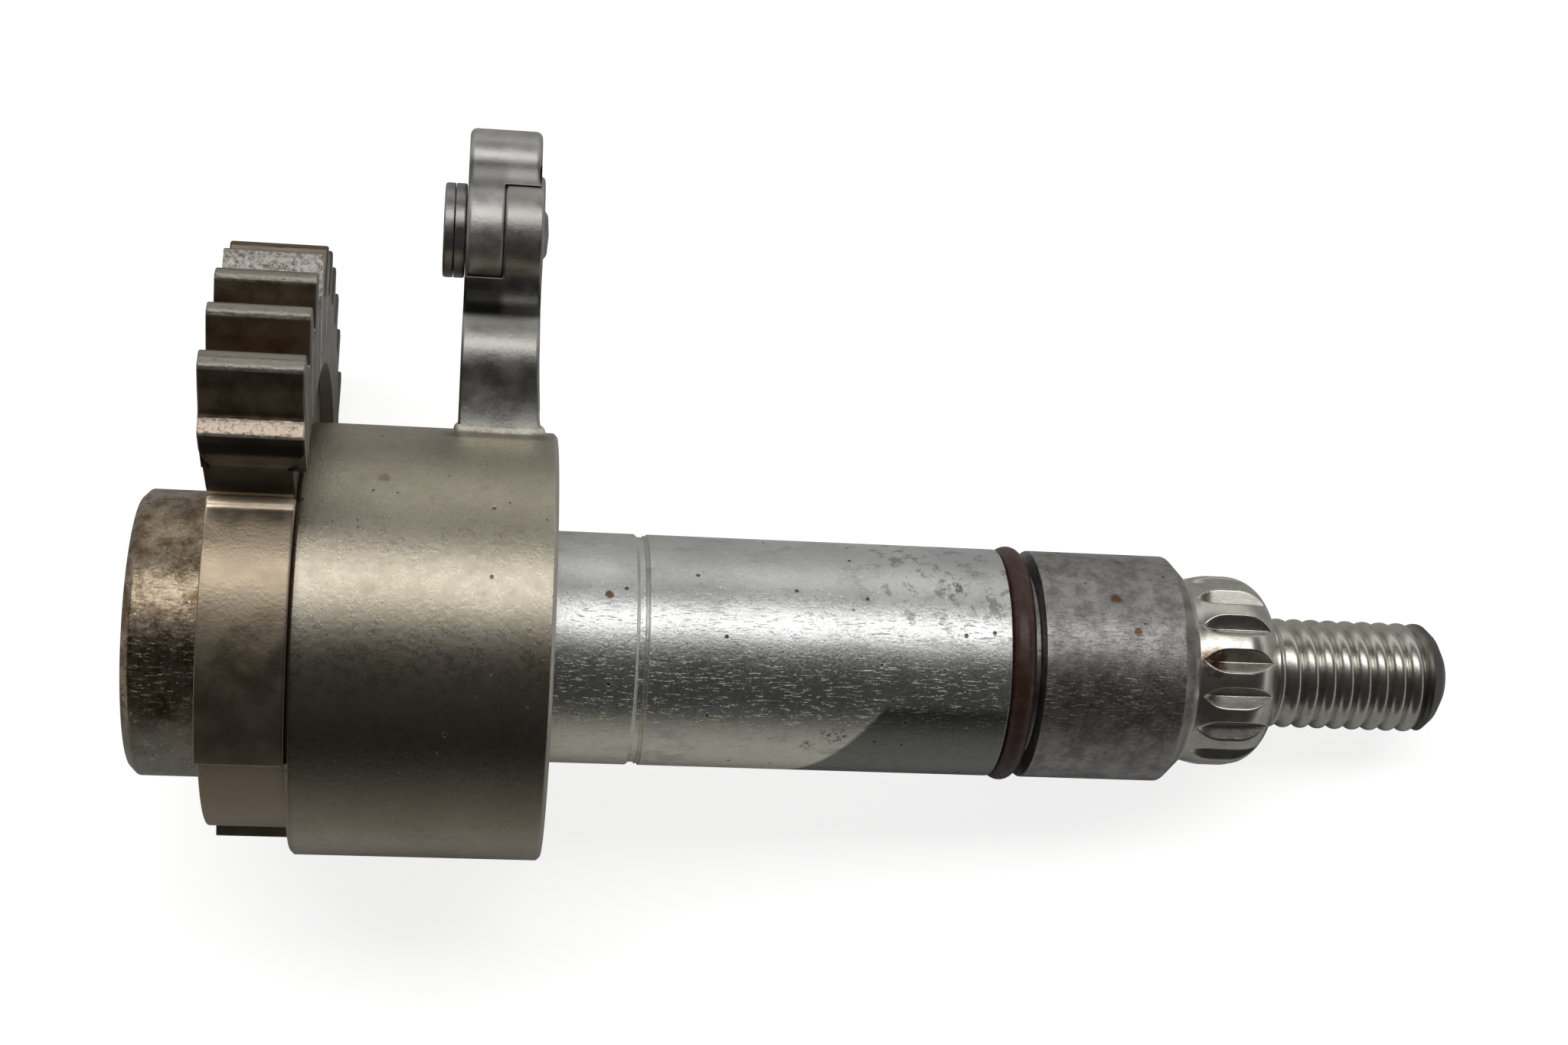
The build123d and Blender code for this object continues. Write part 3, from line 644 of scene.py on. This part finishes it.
def cast_steel():
    """Brown satin steel: dark flanks, worn corners rubbed bright, a fresh grey break, a
    chipped line down the rim's face, painted shade on the rim's near end, its notch and the
    recess inside the rim, and a bronze hub whose near lobe and lip carry a painted highlight,
    as does the land at the near end."""
    s = Shader("cast_sector_steel")
    mottle = s.noise(0.35, 4, 0.6)
    speckle = s.ramp(s.noise(2.2, 3, 0.7), 0.58, 0.72)
    hub_brown = s.blend(s.ramp(mottle, 0.3, 0.7), (0.345, 0.275, 0.195), (0.395, 0.32, 0.235))
    rim_brown = s.blend(s.ramp(mottle, 0.3, 0.7), (0.17, 0.125, 0.075), (0.26, 0.205, 0.145))
    face = s.ramp(s.x, rim_right - 0.5, rim_right - 0.05)
    rim_brown = s.blend(face, rim_brown, (0.27, 0.25, 0.22))
    colour = s.blend(s.ramp(s.r, 26.0, 27.5), hub_brown, rim_brown)
    crest = s.ramp(s.r, tip_at - 0.35, tip_at - 0.1)
    # Painted shade: the near end of the rim and the notch beside it are painted nearly black
    near_end = s.mul(s.ramp(s.angle, 0.978, 0.992), s.ramp(s.r, 26.0, 27.0))
    notch = s.mul(s.ramp(s.angle, 0.86, 0.90), s.band(s.r, 20.95, 21.1, 26.5, 27.5))
    painted_shade_mask = s.math("MAXIMUM", near_end, notch)
    painted_shade = s.blend(s.ramp(s.r, 31.0, 30.2), (0.050, 0.044, 0.034), (0.014, 0.012, 0.009))
    far_teeth = s.mul(s.ramp(s.angle, 0.29, 0.25), s.ramp(s.r, 32.0, 33.0))
    # Painted highlight: the near lobe's top is painted bright bronze, brightest along its lip
    at_hub = s.ramp(s.r, 21.5, 21.0)
    painted_lobe_highlight = s.mul(s.band(s.angle, 0.936, 0.942, 0.98, 1.16), at_hub)
    painted_lip_highlight = s.mul(s.band(s.angle, 0.936, 0.942, 0.968, 0.985), at_hub)
    # Painted shade on the web's face in the recess inside the rim
    painted_recess_shade = s.mul(s.ramp(s.x, hub_right - 0.35, hub_right - 0.1), s.ramp(s.r, 26.6, 26.1))
    colour = s.stained(
        colour,
        (crest, 0.8, (0.30, 0.27, 0.235)),
        (speckle, 0.2, (0.50, 0.44, 0.36)),
        (painted_shade_mask, 0.93, painted_shade),
        (far_teeth, 0.7, (0.10, 0.085, 0.065)),
        (painted_lobe_highlight, 0.9, (0.95, 0.77, 0.58)),
        (painted_lip_highlight, 1.0, (1.0, 0.86, 0.70)),
        (painted_recess_shade, 0.6, (0.10, 0.09, 0.08)),
    )
    rough = s.ramp(mottle, 0.3, 0.7, 0.32, 0.44)
    worn_and_highlit = s.mul(s.mark("worn_and_highlit"), s.ramp(s.noise(2.6, 3, 0.7, shift=2), 0.32, 0.5, 0.35, 1.0))
    # The worn corners get a rubbed grey, and the land at the near end a painted highlight in bright
    # bronze
    on_highlit_land = s.ramp(s.r, 34.0, 33.0)
    brightened = s.blend(on_highlit_land, (0.42, 0.39, 0.335), (0.74, 0.62, 0.50))
    colour = s.blend(worn_and_highlit, colour, brightened)
    # Fresh metal: the break itself, and a ragged chipped line down the face
    away = s.math("ABSOLUTE", s.math("SUBTRACT", s.z, 4.3))
    away = s.add(away, s.mul(s.noise(1.2, 3, 0.7, shift=30), 1.6))
    line = s.mul(s.ramp(away, 1.6, 1.1), face)
    line = s.mul(line, s.mul(s.ramp(s.y, 27.0, 31.0, 0.35, 1.0), s.ramp(s.y, 36.6, 36.2)))
    chip = s.math("MAXIMUM", s.mark("chipped"), line)
    sparkle = s.ramp(s.noise(2.2, 4, 0.8, shift=5), 0.36, 0.58)
    broken = s.blend(sparkle, (0.34, 0.29, 0.235), (0.97, 0.93, 0.86))
    colour = s.blend(chip, colour, broken)
    bright = s.math("MAXIMUM", s.math("MAXIMUM", chip, worn_and_highlit), painted_lip_highlight)
    rough = s.add(s.mul(rough, s.math("SUBTRACT", 1.0, bright)), s.mul(bright, 0.5))
    torn = s.mul(s.noise(3.8, 4, 0.75, shift=5), s.add(chip, s.mul(worn_and_highlit, 0.25)))
    normal = s.bump(torn, 0.16, s.bump(s.noise(3.0, 3), 0.02))
    metal = s.math("SUBTRACT", 1.0, s.mul(s.math("MAXIMUM", chip, painted_lip_highlight), 0.6))
    return s.finish(colour, rough, normal, metal)


casting = cast_steel()
for piece in (sector_rim, hub):
    piece.data.materials.append(casting)
    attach(piece, ASSEMBLY)
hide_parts("sector_lever")

# The drum is a forging, turned to a plain cylinder with small bevels, and pressed onto the
# bar against the sector's hub. It is a warm satin grey with fine pits.
drum_radius, drum_left, drum_right, drum_bevel = 20.44, -23.2, 0.0, 0.35
drum_line = [
    (drum_left, shaft_radius - 1, 0.0),
    (drum_left, drum_radius - drum_bevel, 0.15),
    (drum_left + drum_bevel, drum_radius, 0.2),
    (drum_right - drum_bevel, drum_radius, 0.2),
    (drum_right, drum_radius - drum_bevel, 0.15),
    (drum_right, shaft_radius - 1, 0.0),
]
drum = turned("drum", rounded_line(drum_line, 0.6), 288)


def forged_steel():
    """Warm grey satin steel: soft clouds, turning lines round the drum, small pits, a painted
    shadow below the lever's foot, painted shade beside the hub and over the lower side, and
    one rubbed edge."""
    s = Shader("forged_drum_steel")
    mottle = s.noise(0.16, 4, 0.6)
    grime = s.noise(0.9, 6, 0.72, shift=4)
    colour = s.blend(s.ramp(mottle, 0.3, 0.7), (0.44, 0.396, 0.305), (0.51, 0.460, 0.365))
    # Painted shadow of the lever on the drum, below its foot
    painted_foot_shadow = s.mul(s.band(s.z, 4.6, 5.6, 6.6, 7.6), s.ramp(s.y, 15.0, 18.0))
    painted_foot_shadow = s.mul(painted_foot_shadow, s.band(s.x, -12.0, -9.5, -1.5, -0.3))
    # Painted shade in the corner beside the hub
    painted_hub_shade = s.ramp(s.x, drum_left + 0.9, drum_left + 0.2)
    # Painted shade over the drum's lower side
    painted_lower_shade = s.band(s.angle, 1.80, 2.05, 2.25, 2.75)
    speckle = s.ramp(s.noise(2.2, 4, 0.8, shift=13), 0.45, 0.62)
    brightened = s.ramp(s.x, drum_right - 0.55, drum_right - 0.15)
    stains = s.add(s.near((-15.7, 14.5, 14.3), 0.75), s.near((-8.1, 15.5, 11.6), 0.6))
    spots = s.math("MAXIMUM", s.dots(0.30, 0.075, 0.30), s.dots(0.9, 0.11, 0.10))
    colour = s.stained(
        colour,
        (s.ramp(grime, 0.52, 0.70), 0.45, (0.36, 0.31, 0.24)),
        (painted_foot_shadow, 0.75, (0.13, 0.115, 0.09)),
        (painted_hub_shade, 0.4, (0.14, 0.12, 0.10)),
        (painted_lower_shade, 0.62, (0.17, 0.15, 0.105)),
        (speckle, 0.12, (0.30, 0.27, 0.22)),
        (brightened, 0.5, (0.75, 0.71, 0.63)),
        (stains, 0.6, (0.22, 0.17, 0.11)),
        (spots, 0.8, (0.14, 0.10, 0.08)),
    )
    rough = s.ramp(grime, 0.3, 0.7, 0.24, 0.33)
    normal = s.bump(s.noise(1.7, 6, 0.8), 0.042)
    normal = s.bump(s.noise(1.2, 2, 0.5, stretch=(3, 0.4, 0.4), shift=7), 0.010, normal)
    return s.finish(colour, rough, s.bump(spots, -0.05, normal))


drum.data.materials.append(forged_steel())
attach(drum, ASSEMBLY)
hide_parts("lever_drum")

# The lever is forged with the drum: a flat waisted plate. Above its shoulder half the
# thickness is cut away, and the thin tongue that is left carries the rivet in its eye.
pin_height = to_pivot.length / MM
lever_left, lever_lap, lever_right, lever_edge = -9.45, -5.86, -2.1, 0.4
bulge_height, bulge_radius, eye_radius = 27.2, 5.5, 5.6
shoulder_reach, lap_edge = eye_radius + 0.17, 0.35


def waist(height, low, low_radius, high, high_radius, blend):
    """Half the width of two round ends joined by a hollow arc. The hollow's centre lies at
    each end's radius plus the blend from that end, and the arc leaves the ends smoothly."""
    span = high - low
    low_reach, high_reach = low_radius + blend, high_radius + blend
    along_span = (span**2 + low_reach**2 - high_reach**2) / (2 * span)
    out = math.sqrt(low_reach**2 - along_span**2)
    leave = low + along_span * low_radius / low_reach
    arrive = high - (span - along_span) * high_radius / high_reach
    hollow = out - np.sqrt(np.maximum(blend**2 - (height - low - along_span) ** 2, 0))
    low_end = np.sqrt(np.maximum(low_radius**2 - (height - low) ** 2, 0))
    high_end = np.sqrt(np.maximum(high_radius**2 - (height - high) ** 2, 0))
    return np.where(height < leave, low_end, np.where(height > arrive, high_end, hollow)), leave, arrive


def round_end(height, radius, turn):
    """Points on a circle about a height on the lever, by their angle from its direction."""
    return np.c_[height + radius * np.cos(turn), radius * np.sin(turn)]


# Each shape: the lower round end's height and radius, the upper one's, and the hollow's
drum_inside = drum_radius - 2.4
neck_shape = (bulge_height, bulge_radius, pin_height, eye_radius, 2.9)
foot_shape = (drum_inside - 0.6, 4.9, bulge_height, bulge_radius, 12.0)
_, _, eye_start = waist(0.0, *neck_shape)
side_y = np.linspace(drum_inside, eye_start, 120)
side_z = np.where(side_y < bulge_height, waist(side_y, *foot_shape)[0], waist(side_y, *neck_shape)[0])
eye_turn = math.atan2(side_z[-1], eye_start - pin_height)
round_eye = np.linspace(-eye_turn, eye_turn, 90)[1:-1]
lever_outline = np.vstack([
    np.c_[side_y, -side_z],
    round_end(pin_height, eye_radius, round_eye),
    np.c_[side_y, side_z][::-1],
])
# The shoulder's top is hollow round the pin's axis, so that the link can turn in it.
above = np.hypot(lever_outline[:, 0] - pin_height, lever_outline[:, 1]) < shoulder_reach
horn = lever_outline[np.argmax(above) - 1]
horn_turn = math.atan2(horn[1], horn[0] - pin_height)
hollow_turn = np.linspace(horn_turn, -2 * math.pi - horn_turn, above.sum())
shouldered = lever_outline.copy()
shouldered[above] = round_end(pin_height, shoulder_reach, hollow_turn)


def rounding_kept(outline, full_at=1.6, sharp_cosine=0.6):
    """How much of its rim's rounding each point of an outline keeps: none at a sharp corner,
    where the cosine of the turn is low, and all of it from a distance on."""
    ahead = np.roll(outline, -1, axis=0) - outline
    ahead /= np.linalg.norm(ahead, axis=1, keepdims=True)
    sharp = outline[(ahead * np.roll(ahead, 1, axis=0)).sum(axis=1) < sharp_cosine]
    away = np.linalg.norm(outline[:, None] - sharp[None], axis=2)
    return np.clip(away.min(axis=1, initial=full_at) / full_at, 0, 1)


def lapped(name, first, second, left, lap, right, edge, free, flare=None):
    """A plate whose outline changes at the lap plane: rings of the first outline up to it,
    and rings of the second beyond it. Both outer rims are quarter rounds, and so is the
    free outline's rim at the lap, where the two outlines differ. A flare moves the right
    face along the shaft, by height, and what is left of it in proportion."""
    rise, draw = quarter_round(edge, 6)
    lap_draw, lap_in = quarter_round(lap_edge, 6)
    x = np.r_[left, left + rise, lap - lap_in, lap + lap_in[::-1], right - rise[::-1], right]
    inset = np.r_[2 * edge, draw, lap_draw, lap_draw[::-1], draw[::-1], 2 * edge]
    rings = len(rise)
    early = (np.arange(len(x)) <= 2 * rings)[:, None]
    at_lap = (np.arange(len(x)) > rings) & (np.arange(len(x)) <= 3 * rings)
    differs = (np.linalg.norm(first - second, axis=1) > 1e-3)[None]
    kept = np.where(at_lap[:, None], differs & (early if free == "first" else ~early), True)
    line = np.where(early[..., None], first[None], second[None])
    normal = np.where(early[..., None], outward(first)[None], outward(second)[None])
    share = np.where(early, rounding_kept(first)[None], rounding_kept(second)[None])
    sides = line - (inset[:, None] * kept * share)[..., None] * normal
    grid = np.repeat(x[:, None], len(first), axis=1)
    if flare is not None:
        grid = grid + flare(sides[..., 0]) * (grid - left) / (right - left)
    return grid_mesh(name, grid, sides[..., 0], sides[..., 1], ends="flat")


def foot_flare(height):
    """How far the lever's right face leans out: by 0.3 mm on the way down the lower half,
    and by 0.35 mm more at the foot, in proportion to the square of the way."""
    lower, foot = np.clip((27.5 - height) / 5, 0, 1), np.clip((21.9 - height) / 1.8, 0, 1)
    return 0.3 * lower + 0.35 * foot**2


faces = lever_left, lever_lap, lever_right
lever = lapped("lever_arm", shouldered, lever_outline, *faces, lever_edge, "second", foot_flare)

# A rough bead of forging scale runs round the lever's foot, where it leaves the drum.
bead_high, bead_wide = 0.62, 0.42
foot_half = float(waist(drum_radius, *foot_shape)[0])
bead_left, bead_right = lever_left + 0.05, lever_right + 0.5
bead_sides = bead_left, bead_right, bead_right, bead_left
foot_sides = -foot_half, -foot_half, foot_half, foot_half
bead_path = walked(np.c_[bead_sides, foot_sides], 0.12, 0.5)
section = np.linspace(0, 2 * math.pi, 20, endpoint=False)
bead_out = outward(bead_path)
rings, columns = len(bead_path), len(section)
lumps = 0.12 * uneven(rings, columns, 5, 3, 11) + 0.10 * uneven(rings, columns, 2, 2, 12)
bead_side = bead_wide * (1 + lumps) * np.cos(section)
bead_x = bead_path[:, :1] + bead_out[:, :1] * bead_side
bead_z = bead_path[:, 1:] + bead_out[:, 1:] * bead_side
bead_y = np.sqrt(drum_radius**2 - bead_path[:, 1:] ** 2) + bead_high * (1 + lumps) * np.sin(section)
bead = grid_mesh("lever_bead", bead_x, bead_y, bead_z, loop=True)


def bare_steel(name, dark, light, shine, grain=0.025, painted_shade=(30.7, 31.5, 33.0, 35.9), shade_share=(0.985, 0.86)):
    """Oiled bare steel: dark clouds over a lighter rubbed surface, and a band of painted shade,
    near black, between four heights along the lever, fuller on the left of the lap than beyond it."""
    s = Shader(name)
    mottle = s.noise(0.4, 4, 0.6)
    colour = s.blend(s.ramp(mottle, 0.3, 0.7), dark, light)
    # Painted shade: a near-black band between the given heights, in one share left of the lap and
    # another beyond it
    painted_shade_band = s.mul(s.band(s.y, *painted_shade), s.ramp(s.x, lever_lap - 0.4, lever_lap + 0.6, *shade_share))
    colour = s.blend(painted_shade_band, colour, (0.010, 0.010, 0.009))
    rough = s.ramp(mottle, 0.3, 0.7, shine, shine + 0.12)
    return s.finish(colour, rough, s.bump(s.noise(3.0, 4, 0.7), grain))


# The lever's band of painted shade lies under the link's lobe, over the shoulder
lever.data.materials.append(bare_steel("lever_steel", (0.37, 0.355, 0.325), (0.48, 0.465, 0.43), 0.34))
# The bead is a real ridge; its near-white colour is a painted highlight along its top
bead.data.materials.append(bare_steel("bead_scale_highlit", (0.60, 0.56, 0.46), (0.95, 0.92, 0.83), 0.46, 0.14))
for piece in (lever, bead):
    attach(piece, ASSEMBLY)

# The link is a small half-lapped plate that turns on the rivet. Its lobe lies beside the
# lever's tongue, and its nose has the full thickness over a round seat.
link_thick, link_edge, lap_gap, seat_gap = 6.95, 0.65, 0.03, 0.12
link_right, lobe_right = lever_left + link_thick, lever_lap - lap_gap
lobe_radius, nose_radius, nose_at = 5.55, 3.8, pin_height + 6.2
seat_radius = eye_radius + seat_gap
link_shape = (pin_height, lobe_radius, nose_at, nose_radius, 4.5)
_, lobe_end, nose_start = waist(0.0, *link_shape)
flank_y = np.linspace(lobe_end, nose_start, 24)
flank_z = waist(flank_y, *link_shape)[0]
lobe_turn = math.atan2(flank_z[0], lobe_end - pin_height)
nose_turn = math.atan2(flank_z[-1], nose_start - nose_at)
round_lobe = np.linspace(lobe_turn, 2 * math.pi - lobe_turn, 110)[1:-1]
round_nose = np.linspace(-nose_turn, nose_turn, 60)[1:-1]
link_outline = np.vstack([
    round_end(pin_height, lobe_radius, round_lobe),
    np.c_[flank_y, -flank_z],
    round_end(nose_at, nose_radius, round_nose),
    np.c_[flank_y, flank_z][::-1],
])
# The walk starts where the outline leaves the seat's circle. Up to the lap it goes round
# the lobe, and beyond the lap it goes round the seat instead.
from_pin = np.hypot(link_outline[:, 0] - pin_height, link_outline[:, 1])
start = int(np.argmax(from_pin > seat_radius))
seated, in_seat = np.roll(link_outline, -start, axis=0), np.roll(from_pin, -start) <= seat_radius
corner = seated[~in_seat][-1]
corner_turn = math.atan2(corner[1], corner[0] - pin_height)
nosed = seated.copy()
seat_turn = np.linspace(corner_turn, -corner_turn, in_seat.sum())
nosed[in_seat] = round_end(pin_height, seat_radius, seat_turn)
link = lapped("link_plate", seated, nosed, lever_left, lobe_right, link_right, link_edge, "first")
link_greys = (0.46, 0.45, 0.425), (0.60, 0.59, 0.56)
# The link's band of painted shade lies between its lobe and its nose
link_shade_heights, link_shade_share = (42.5, 43.9, 45.4, 46.8), (0.6, 0.45)
link_steel = bare_steel("link_steel", *link_greys, 0.38, painted_shade=link_shade_heights, shade_share=link_shade_share)
link.data.materials.append(link_steel)
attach(link, "link_body")
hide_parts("link")

# The rivet holds the link. It is pressed through the tongue and peened over on the right,
# and a washer lies between its head and the link.
pin_radius, head_size, head_thick, washer_thick, side_gap = 2.2, 4.55, 1.0, 1.05, 0.05
washer_right = lever_left - side_gap
washer_left = washer_right - washer_thick
rivet_right = washer_left - side_gap
rivet_left = rivet_right - head_thick
peen_size, peen_thick = 2.5, 0.55
rivet_line = [
    (rivet_left, 0.2, 0.0),
    (rivet_left, head_size, 0.3),
    (rivet_right, head_size, 0.12),
    (rivet_right, pin_radius, 0.05),
    (lever_right, pin_radius, 0.02),
    (lever_right, peen_size, 0.02),
    (lever_right + peen_thick - 0.13, peen_size - 0.6, 0.5),
    (lever_right + peen_thick, 0.2, 0.0),
]
washer_line = [
    (washer_left, pin_radius - 0.3, 0.0),
    (washer_left, head_size, 0.12),
    (washer_right, head_size, 0.25),
    (washer_right, pin_radius - 0.3, 0.0),
]
rivet = turned("rivet", rounded_line(rivet_line, 0.25), 96, pin_height)
washer = turned("washer", rounded_line(washer_line, 0.25), 96, pin_height)
pin_steel = bare_steel("rivet_steel", (0.25, 0.245, 0.24), (0.40, 0.39, 0.38), 0.30)
for piece, node in ((rivet, "rivet_pin"), (washer, "pin_washer")):
    piece.data.materials.append(pin_steel)
    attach(piece, ASSEMBLY)
    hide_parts(node)

# The stage: a pale floor under a dark ceiling, with pale walls near the horizon and one
# broad soft box over the lever's side.
scene = bpy.context.scene
scene.view_settings.view_transform = "Standard"
floor_colour = (0.72, 0.72, 0.71, 1)
floor_to_camera, floor_in_metal = 0.82, 0.02

bpy.ops.mesh.primitive_plane_add(size=4.0, location=(0, 0, 0))
floor = bpy.context.object
floor.name = "floor"


def white_glow(nodes, for_camera, in_metal):
    """The strength of a white glow that the camera sees by one share, and metal and glass
    by another: a sum of the light path's own flags, each times its share."""
    rays = nodes.node("ShaderNodeLightPath").outputs
    mirrored = nodes.math("MAXIMUM", rays["Is Glossy Ray"], rays["Is Transmission Ray"])
    return nodes.add(nodes.mul(rays["Is Camera Ray"], for_camera), nodes.mul(mirrored, in_metal))


floor_paint = Nodes(bpy.data.materials.new("floor_paint"))
built_in = floor_paint.tree.nodes
built_in.remove(built_in["Principled BSDF"])
paint = floor_paint.node("ShaderNodeBsdfDiffuse", floor_colour)
strength = white_glow(floor_paint, floor_to_camera, floor_in_metal)
glow = floor_paint.node("ShaderNodeEmission", Strength=strength)
both = floor_paint.node("ShaderNodeAddShader", paint.outputs[0], glow.outputs[0])
floor_paint.feed(built_in["Material Output"].inputs["Surface"], both.outputs[0])
floor.data.materials.append(floor_paint.owner)

# The pale walls end low over the horizon, higher on the lever's side, and the ceiling over
# them is dark. To the camera the whole surround is white.
wall_low, wall_top, wall_slope = 0.13, 0.27, 0.17
wall_light, ceiling_light = 0.90, 0.035

scene.world = bpy.data.worlds.new("studio")
surround = Nodes(scene.world)
way = surround.node("ShaderNodeTexCoord").outputs["Generated"]
way = surround.node("ShaderNodeSeparateXYZ", way).outputs
height = surround.math("MULTIPLY_ADD", way["Y"], -wall_slope, way["Z"])
fade = surround.ramp(height, wall_low, wall_top, wall_light, ceiling_light)
background = surround.tree.nodes["Background"].inputs
background["Color"].default_value = (1, 1, 1, 1)
strength = surround.math("MAXIMUM", fade, white_glow(surround, 1.0, 0.0))
surround.feed(background["Strength"], strength)

# The soft box is leaned from overhead towards the lever's side. Its power is its glow times
# pi times its area, so a glow of 1 looks white.
box_lean, box_distance, box_wide, box_deep, box_glow = math.radians(27.2), 0.7, 1.1, 0.24, 3.0
lamp = bpy.data.lights.new("key", "AREA")
lamp.shape = "RECTANGLE"
lamp.size, lamp.size_y = box_wide, box_deep
lamp.energy = box_glow * math.pi * box_wide * box_deep
box = bpy.data.objects.new("key", lamp)
scene.collection.objects.link(box)
over = Vector((0, math.sin(box_lean), math.cos(box_lean)))
box.location = over * box_distance
box.rotation_euler = over.to_track_quat("Z", "Y").to_euler()

# The camera stands where the photograph was taken: over the shaft, a little behind its
# middle, with the stud farther away than the head.
shaft_yaw, shaft_tilt, view_rise = 0.128197, 0.0436596, 0.0544710
shaft_distance, view_along = 234.25, -7.78
focal_px, frame_px, sensor_mm = 3165.1, 2048, 36.0
bar_way = np.array([
    math.cos(shaft_yaw) * math.cos(shaft_tilt),
    math.cos(shaft_yaw) * math.sin(shaft_tilt),
    math.sin(shaft_yaw),
])
sight = np.array([0, math.sin(view_rise), math.cos(view_rise)])
away = sight - (sight @ bar_way) * bar_way
away /= np.linalg.norm(away)
# Columns: the camera's right, up and backward directions in the shaft's own frame
axes = np.stack([bar_way, np.cross(bar_way, away), -away]) @ np.diag([1, -1, -1])
turn = Matrix(axes.tolist())
camera_data = bpy.data.cameras.new("camera")
camera_data.sensor_width = sensor_mm
camera_data.lens = focal_px * sensor_mm / frame_px
camera = bpy.data.objects.new("camera", camera_data)
scene.collection.objects.link(camera)
spot = lay @ Vector((view_along, 0, shaft_distance))
camera.matrix_world = Matrix.Translation(spot) @ (lay.to_3x3().normalized() @ turn).to_4x4()
scene.camera = camera
